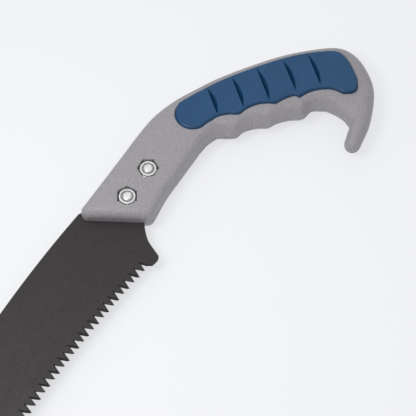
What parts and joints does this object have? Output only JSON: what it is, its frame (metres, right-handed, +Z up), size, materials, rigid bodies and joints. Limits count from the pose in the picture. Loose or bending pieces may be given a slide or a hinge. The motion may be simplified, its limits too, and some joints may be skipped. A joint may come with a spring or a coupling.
{
  "type": "pruning hand saw",
  "caption": "Fixed-blade pruning hand saw with a curved toothed blade bolted between two moulded handle halves with grip inlays and an end hook.",
  "frame": {"origin": "bottom centre of the whole saw's box, on the surface it lies on", "axes": "+X along the saw from the blade's nose to the hook, +Y towards the back of the blade with the teeth towards -Y, +Z up out of the handle half that holds the lock nuts"},
  "size_m": [0.5232, 0.1171, 0.0224],
  "materials": {
    "blade_coating": "matte",
    "handle_plastic": "fine moulded texture",
    "grip_plastic": "satin gloss",
    "zinc_steel": "bright zinc plate",
    "insert_nylon": "smooth"
  },
  "bodies": {
    "root": {"saw_blade": "blade_coating", "upper_handle_half": "handle_plastic", "lower_handle_half": "handle_plastic", "upper_grip_inlay": "grip_plastic", "lower_grip_inlay": "grip_plastic", "front_blade_bolt": "zinc_steel", "rear_blade_bolt": "zinc_steel", "front_bolt_washer": "zinc_steel", "rear_bolt_washer": "zinc_steel", "front_lock_nut": "zinc_steel", "rear_lock_nut": "zinc_steel", "front_nut_insert": "insert_nylon", "rear_nut_insert": "insert_nylon", "front_grip_screw": "zinc_steel", "middle_grip_screw": "zinc_steel", "rear_grip_screw": "zinc_steel"}
  },
  "joints": []
}
